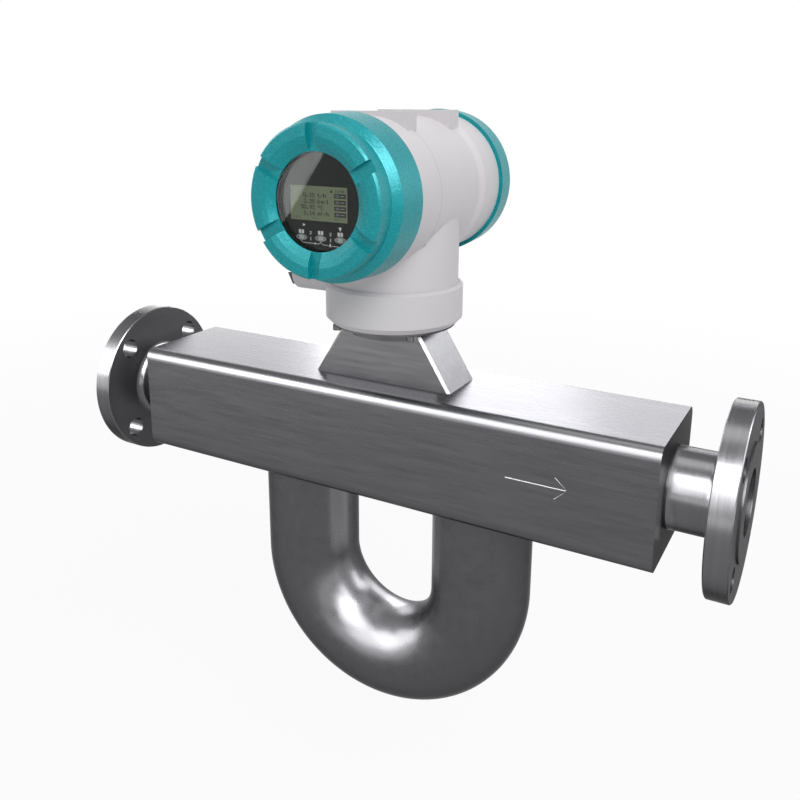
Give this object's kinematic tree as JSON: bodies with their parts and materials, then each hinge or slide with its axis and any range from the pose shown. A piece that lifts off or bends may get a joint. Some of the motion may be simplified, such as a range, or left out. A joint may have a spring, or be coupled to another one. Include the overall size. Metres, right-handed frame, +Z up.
{
  "type": "coriolis mass flow meter",
  "caption": "Twin-tube mass flow meter: box beam between two pipe flanges, U-shaped loop below, and a field transmitter with a round display window on a pedestal.",
  "frame": {"origin": "centre of the inlet flange's sealing face, on the pipe axis", "axes": "+X along the flow, from the inlet to the outlet flange; -Y towards the display window at rest; +Z up from the beam to the transmitter"},
  "size_m": [0.609, 0.2385, 0.5551],
  "materials": {
    "welded_shell": "brushed stainless",
    "machined_steel": "machined",
    "tube_steel": "drawn and pickled",
    "magnet": "nickel plated",
    "coil": "enamelled copper wire",
    "sensor_block": "satin",
    "header": "glass to metal seal",
    "grey_paint": "semi-gloss light grey",
    "teal_paint": "teal with a fine metallic grain",
    "plated_plug": "nickel plated",
    "window": "clear",
    "retainer": "black anodised",
    "rubber": "matte",
    "black_plastic": "black",
    "screen": "grey green",
    "key": "smoke grey",
    "board": "green solder mask",
    "cassette": "dark grey",
    "wire": "grey sheath",
    "socket": "dark grey",
    "terminal": "green",
    "terminal_metal": "nickel plated brass"
  },
  "bodies": {
    "sensor": {"inlet_flange": "welded_shell", "outlet_flange": "welded_shell", "inlet_end_plate": "welded_shell", "outlet_end_plate": "welded_shell", "beam_housing": "welded_shell", "loop_housing": "welded_shell", "inlet_splitter": "machined_steel", "outlet_splitter": "machined_steel", "inlet_brace_bars": "machined_steel", "outlet_brace_bars": "machined_steel", "pedestal": "welded_shell", "feedthrough": "header", "swivel_collar": "machined_steel", "swivel_ring": "rubber", "sensor_socket": "socket", "sensor_harness": "wire"},
    "front_tube": {"front_measuring_tube": "tube_steel", "magnet_brackets": "machined_steel", "drive_magnet": "magnet", "inlet_pickoff_magnet": "magnet", "outlet_pickoff_magnet": "magnet"},
    "rear_tube": {"rear_measuring_tube": "tube_steel", "coil_brackets": "machined_steel", "drive_coil": "coil", "inlet_pickoff_coil": "coil", "outlet_pickoff_coil": "coil", "temperature_sensor": "sensor_block"},
    "transmitter": {"transmitter_housing": "grey_paint", "clamp_ring": "machined_steel", "clamp_screws": "machined_steel", "front_entry_plug": "plated_plug", "rear_entry_plug": "plated_plug", "ground_screw": "machined_steel", "display_hood": "black_plastic", "screen_panel": "screen", "optical_keys": "key", "display_board": "board", "display_posts": "machined_steel", "input_board": "board", "main_board": "board", "output_board": "board", "board_spacers": "machined_steel", "cassette_frame": "cassette", "stem_harness": "wire", "terminal_board": "board", "terminal_posts": "machined_steel", "terminal_block": "terminal", "terminal_screws": "terminal_metal"},
    "front_closure_seal": {"front_cover_gasket": "rubber"},
    "front_closure": {"front_cover": "teal_paint", "window_glass": "window", "window_retainer": "retainer", "front_lock_screw": "machined_steel"},
    "rear_closure_seal": {"rear_cover_gasket": "rubber"},
    "rear_closure": {"rear_cover": "teal_paint", "rear_lock_screw": "machined_steel"}
  },
  "joints": [
    {"name": "transmitter_swivel", "type": "hinge", "parent": "sensor", "child": "transmitter", "pos_m": [0.3045, 0, 0.102], "axis": [0, 0, 1], "range_deg": [-175, 175]},
    {"name": "front_cover_travel", "type": "slide", "parent": "transmitter", "child": "front_closure_seal", "axis": [0, -1, 0], "range_m": [0, 0.01]},
    {"name": "front_cover_turn", "type": "hinge", "parent": "front_closure_seal", "child": "front_closure", "pos_m": [0.3045, -0.072, 0.2167], "axis": [0, -1, 0], "range_deg": [0, 1800]},
    {"name": "rear_cover_travel", "type": "slide", "parent": "transmitter", "child": "rear_closure_seal", "axis": [0, 1, 0], "range_m": [0, 0.01]},
    {"name": "rear_cover_turn", "type": "hinge", "parent": "rear_closure_seal", "child": "rear_closure", "pos_m": [0.3045, 0.0815, 0.2167], "axis": [0, 1, 0], "range_deg": [0, 1800]},
    {"name": "front_tube_swing", "type": "hinge", "parent": "sensor", "child": "front_tube", "pos_m": [0.3045, -0.015, 0], "axis": [1, 0, 0], "range_deg": [-0.2, 0.2], "stiffness_Nm_per_rad": 200},
    {"name": "rear_tube_swing", "type": "hinge", "parent": "sensor", "child": "rear_tube", "pos_m": [0.3045, 0.015, 0], "axis": [1, 0, 0], "range_deg": [-0.2, 0.2], "stiffness_Nm_per_rad": 200}
  ],
  "couplings": [
    {"joint": "front_cover_travel", "follows": "front_cover_turn", "m_per_rad": 0.00031831},
    {"joint": "rear_cover_travel", "follows": "rear_cover_turn", "m_per_rad": 0.00031831},
    {"joint": "front_tube_swing", "follows": "rear_tube_swing", "ratio": -1}
  ]
}
